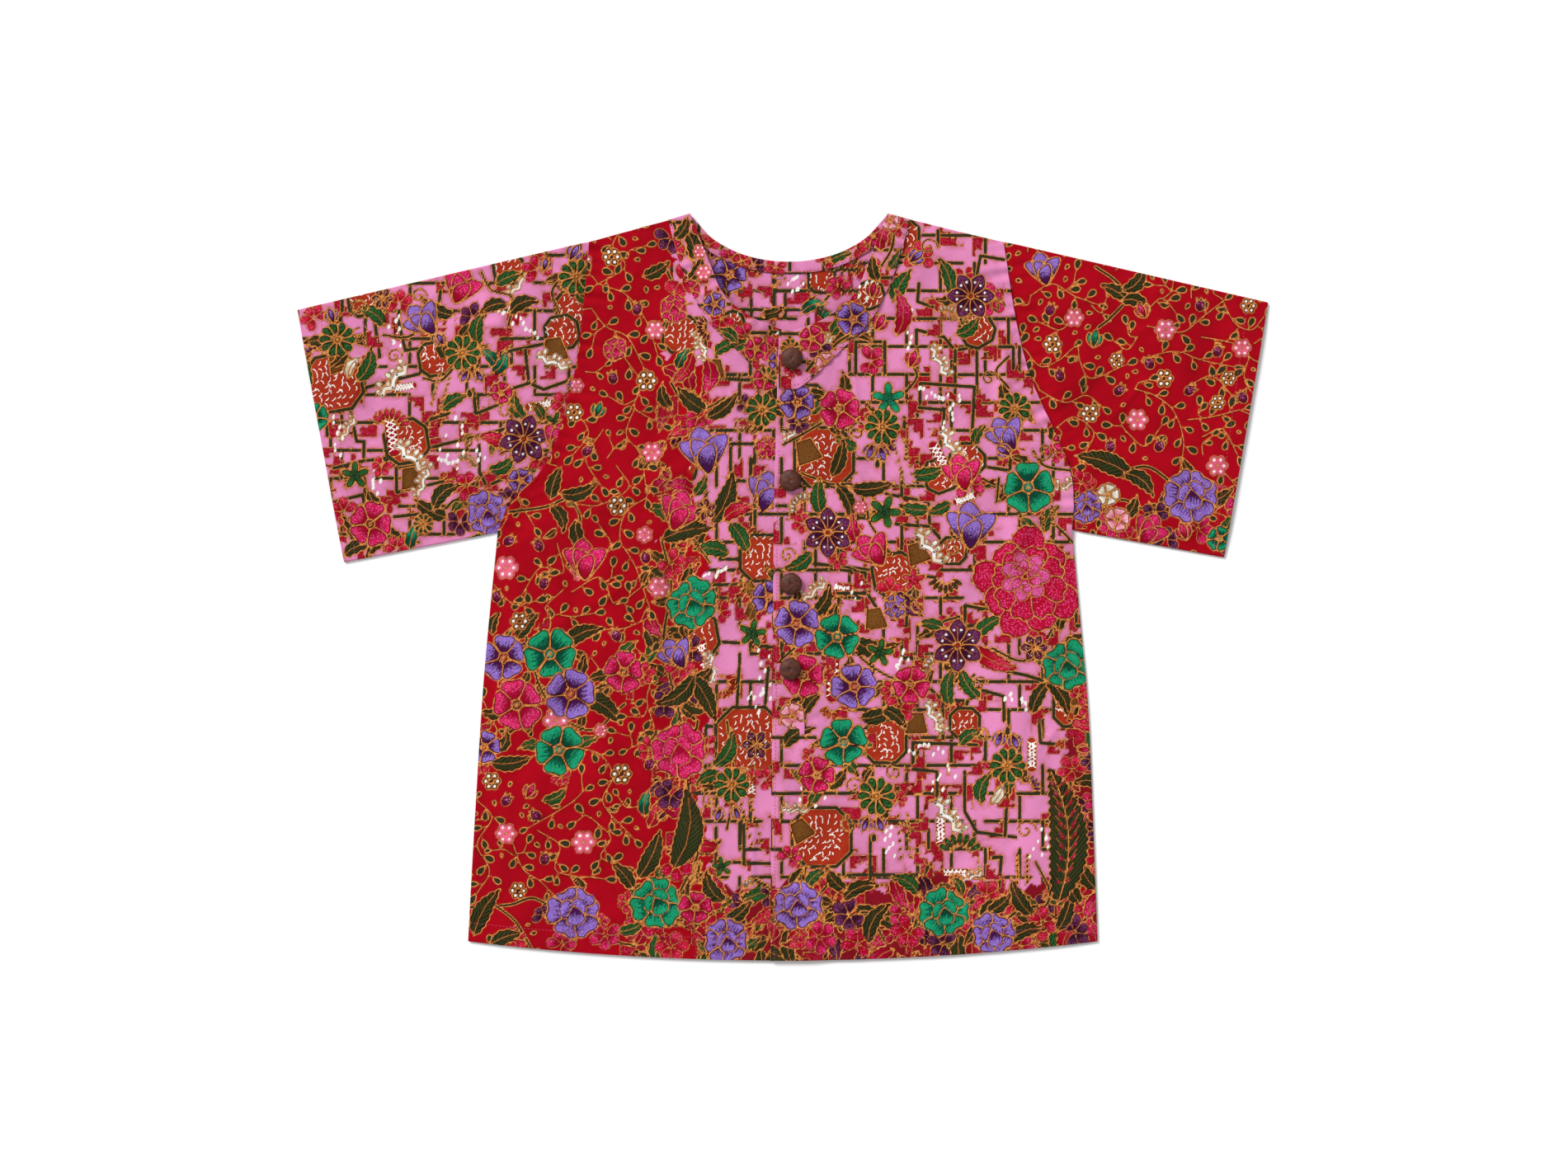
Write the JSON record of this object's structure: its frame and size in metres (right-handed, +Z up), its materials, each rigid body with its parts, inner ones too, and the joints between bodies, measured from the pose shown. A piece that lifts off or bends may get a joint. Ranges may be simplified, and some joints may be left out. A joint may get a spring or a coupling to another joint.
{
  "type": "batik crop shirt",
  "caption": "Short-sleeved cropped cotton shirt with a round neckband and a buttoned front, laid out flat with its front up.",
  "frame": {"origin": "centre of the laid-out shirt on the surface it lies on", "axes": "+Y towards the neck, +X to the viewer's right with the front up, +Z up from the surface"},
  "size_m": [0.8, 0.6148, 0.0166],
  "materials": {
    "pink_batik": "soft cotton, printed",
    "red_batik": "soft cotton, printed",
    "button_brown": "satin"
  },
  "bodies": {
    "root": {"back": "pink_batik", "back_neck_binding": "pink_batik", "front_left": "red_batik", "front_right": "pink_batik", "neckband_left": "pink_batik", "neckband_right": "pink_batik", "sleeve_left": "pink_batik", "sleeve_right": "red_batik", "button_1": "button_brown", "button_2": "button_brown", "button_3": "button_brown", "button_4": "button_brown"}
  },
  "joints": []
}
